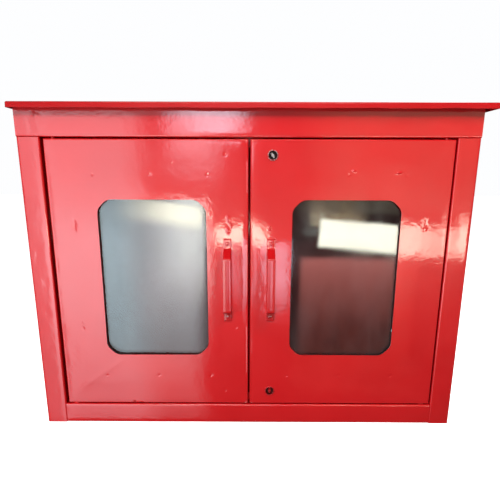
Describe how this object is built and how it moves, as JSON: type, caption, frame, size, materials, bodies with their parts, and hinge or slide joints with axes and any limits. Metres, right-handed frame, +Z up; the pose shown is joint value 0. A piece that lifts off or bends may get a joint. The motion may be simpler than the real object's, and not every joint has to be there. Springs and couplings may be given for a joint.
{
  "type": "standpipe cabinet",
  "caption": "Wide double-door fire hose cabinet in red sheet steel, with glazed doors, strap handles, quarter-turn locks and slide bolts.",
  "frame": {"origin": "centre of the carcass's base, on the underside of the bottom panel", "axes": "+X to the right along the front, +Y from the doors towards the wall, +Z up"},
  "size_m": [0.816, 0.278, 0.6047],
  "materials": {
    "red_enamel": "glossy baked enamel with a light orange peel",
    "zinc_plate": "dull zinc plate",
    "window_glass": "clear float glass",
    "black_rubber": "matt"
  },
  "bodies": {
    "cabinet": {"back_panel": "red_enamel", "bottom_panel": "red_enamel", "left_lower_pivot_pin": "red_enamel", "left_pivot_washer": "red_enamel", "left_side_panel": "red_enamel", "left_upper_pivot_pin": "red_enamel", "right_lower_pivot_pin": "red_enamel", "right_pivot_washer": "red_enamel", "right_side_panel": "red_enamel", "right_upper_pivot_pin": "red_enamel", "roof_cover": "red_enamel", "top_panel": "red_enamel"},
    "left_door": {"left_door_panel": "red_enamel", "left_glass_retainer": "zinc_plate", "left_handle": "red_enamel", "left_handle_lower_rivet": "red_enamel", "left_handle_upper_rivet": "red_enamel", "left_lower_pivot_block": "red_enamel", "left_retainer_nut_1": "zinc_plate", "left_retainer_nut_2": "zinc_plate", "left_retainer_nut_3": "zinc_plate", "left_retainer_nut_4": "zinc_plate", "left_retainer_nut_5": "zinc_plate", "left_retainer_nut_6": "zinc_plate", "left_upper_pivot_block": "red_enamel", "left_window_gasket": "black_rubber", "left_window_glass": "window_glass", "lower_bolt_guide": "zinc_plate", "upper_bolt_guide": "zinc_plate"},
    "right_door": {"lower_lock_body": "zinc_plate", "lower_lock_nut": "zinc_plate", "right_door_panel": "red_enamel", "right_glass_retainer": "zinc_plate", "right_handle": "red_enamel", "right_handle_lower_rivet": "red_enamel", "right_handle_upper_rivet": "red_enamel", "right_lower_pivot_block": "red_enamel", "right_retainer_nut_1": "zinc_plate", "right_retainer_nut_2": "zinc_plate", "right_retainer_nut_3": "zinc_plate", "right_retainer_nut_4": "zinc_plate", "right_retainer_nut_5": "zinc_plate", "right_retainer_nut_6": "zinc_plate", "right_upper_pivot_block": "red_enamel", "right_window_gasket": "black_rubber", "right_window_glass": "window_glass", "upper_lock_body": "zinc_plate", "upper_lock_nut": "zinc_plate"},
    "upper_bolt": {"upper_bolt_knob": "zinc_plate", "upper_bolt_rod": "zinc_plate"},
    "lower_bolt": {"lower_bolt_knob": "zinc_plate", "lower_bolt_rod": "zinc_plate"},
    "upper_lock": {"upper_lock_cam": "zinc_plate", "upper_lock_cam_screw": "zinc_plate", "upper_lock_plug": "zinc_plate"},
    "lower_lock": {"lower_lock_cam": "zinc_plate", "lower_lock_cam_screw": "zinc_plate", "lower_lock_plug": "zinc_plate"}
  },
  "joints": [
    {"name": "left_door_swing", "type": "hinge", "parent": "cabinet", "child": "left_door", "pos_m": [-0.3407, -0.117, 0.295], "axis": [0, 0, -1], "range_deg": [0, 120]},
    {"name": "right_door_swing", "type": "hinge", "parent": "cabinet", "child": "right_door", "pos_m": [0.3438, -0.117, 0.295], "axis": [0, 0, 1], "range_deg": [0, 120]},
    {"name": "upper_bolt_slide", "type": "slide", "parent": "left_door", "child": "upper_bolt", "axis": [0, 0, 1], "range_m": [0, 0.012]},
    {"name": "lower_bolt_slide", "type": "slide", "parent": "left_door", "child": "lower_bolt", "axis": [0, 0, -1], "range_m": [0, 0.012]},
    {"name": "upper_lock_turn", "type": "hinge", "parent": "right_door", "child": "upper_lock", "pos_m": [0.0422, -0.125, 0.52], "axis": [0, -1, 0], "range_deg": [0, 90]},
    {"name": "lower_lock_turn", "type": "hinge", "parent": "right_door", "child": "lower_lock", "pos_m": [0.0422, -0.125, 0.071], "axis": [0, 1, 0], "range_deg": [0, 90]}
  ]
}
